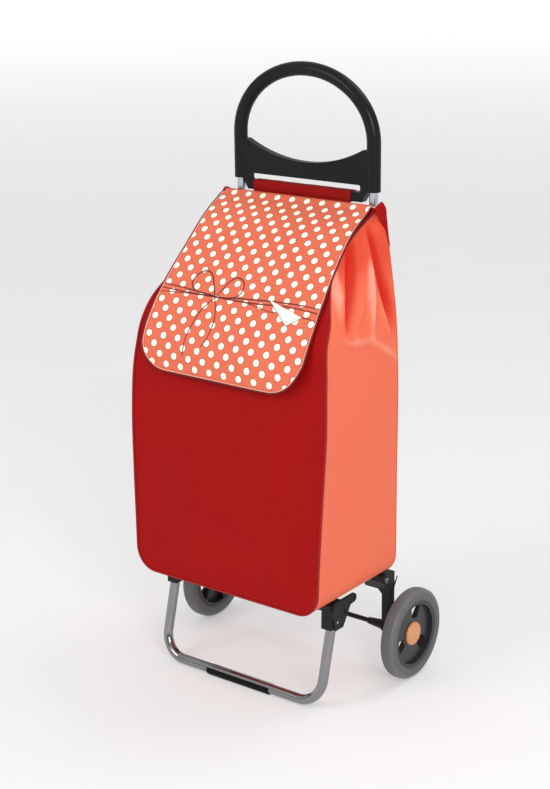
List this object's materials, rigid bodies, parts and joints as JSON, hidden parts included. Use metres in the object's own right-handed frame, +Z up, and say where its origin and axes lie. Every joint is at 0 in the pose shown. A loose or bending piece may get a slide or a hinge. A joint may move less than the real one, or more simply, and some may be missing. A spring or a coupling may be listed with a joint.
{
  "type": "shopping trolley",
  "caption": "Wheeled shopping trolley: soft bag with a flap on a tube frame, D handle, folding U-shaped foot and rubber-tyred wheels.",
  "frame": {"origin": "on the floor under the middle of the whole trolley", "axes": "+Z up, +Y to the back where the wheels and the handle are, +X to the right of someone facing the front of the bag"},
  "size_m": [0.4354, 0.3, 0.975],
  "materials": {
    "tyre_rubber": "satin, fine grooves round the tread",
    "rim_plastic": "moulded, low sheen",
    "bush_nylon": "natural nylon",
    "hub_cap_orange": "coppery orange, glossy",
    "black_steel": "black lacquer",
    "black_plastic": "moulded, fine grain",
    "bright_steel": "zinc plated",
    "frame_zinc": "bright zinc",
    "handle_plastic": "satin black",
    "foot_chrome": "mirror chrome",
    "glide_plastic": "ribbed, matt",
    "red_cloth": "plain weave polyester, dark red",
    "coral_cloth": "plain weave polyester, coral",
    "board_plastic": "stiffening board",
    "maroon_piping": "bound edge",
    "flap_print": "coral with cream spots and a thin bow line"
  },
  "bodies": {
    "frame": {"axle": "black_steel", "axle_spacers": "black_plastic", "axle_end_rings": "bright_steel", "frame_tube_left": "frame_zinc", "frame_tube_right": "frame_zinc", "frame_crossbar": "frame_zinc", "rear_bracket_left": "black_plastic", "rear_bracket_right": "black_plastic", "pivot_pin_left": "bright_steel", "pivot_pin_right": "bright_steel", "handle_front_shell": "handle_plastic", "handle_rear_shell": "handle_plastic", "handle_screws": "bright_steel", "tube_screws": "bright_steel", "bag_front": "red_cloth", "bag_side_left": "coral_cloth", "bag_side_right": "coral_cloth", "bag_back": "red_cloth", "bag_bottom_rear": "red_cloth", "bag_piping": "maroon_piping", "hem_rod": "bright_steel", "hanging_sleeve": "red_cloth", "tube_loops": "red_cloth"},
    "stand": {"stand_rail_left": "frame_zinc", "stand_rail_right": "frame_zinc", "stand_crossbar": "frame_zinc", "front_bracket_left": "black_plastic", "front_bracket_right": "black_plastic", "foot_tube": "foot_chrome", "foot_glide": "glide_plastic", "leg_pins": "bright_steel", "bag_bottom": "red_cloth", "base_board": "board_plastic", "board_rivets": "bright_steel"},
    "flap": {"flap": "flap_print", "flap_piping": "maroon_piping"},
    "wheel_left": {"tyre_left": "tyre_rubber", "wheel_rim_left": "rim_plastic", "wheel_bush_left": "bush_nylon", "hub_cap_left": "hub_cap_orange"},
    "wheel_right": {"tyre_right": "tyre_rubber", "wheel_rim_right": "rim_plastic", "wheel_bush_right": "bush_nylon", "hub_cap_right": "hub_cap_orange"}
  },
  "joints": [
    {"name": "wheel_left_spin", "type": "hinge", "parent": "frame", "child": "wheel_left", "pos_m": [-0.2052, 0.075, 0.075], "axis": [1, 0, 0], "continuous": true},
    {"name": "wheel_right_spin", "type": "hinge", "parent": "frame", "child": "wheel_right", "pos_m": [0.2052, 0.075, 0.075], "axis": [1, 0, 0], "continuous": true},
    {"name": "stand_fold", "type": "hinge", "parent": "frame", "child": "stand", "pos_m": [0, 0.058, 0.163], "axis": [-1, 0, 0], "range_deg": [0, 70], "deforming": ["bag_front", "bag_side_left", "bag_side_right", "bag_bottom_rear", "bag_piping"]},
    {"name": "flap_open", "type": "hinge", "parent": "frame", "child": "flap", "pos_m": [0, 0.06, 0.765], "axis": [-1, 0, 0], "range_deg": [0, 115]}
  ]
}
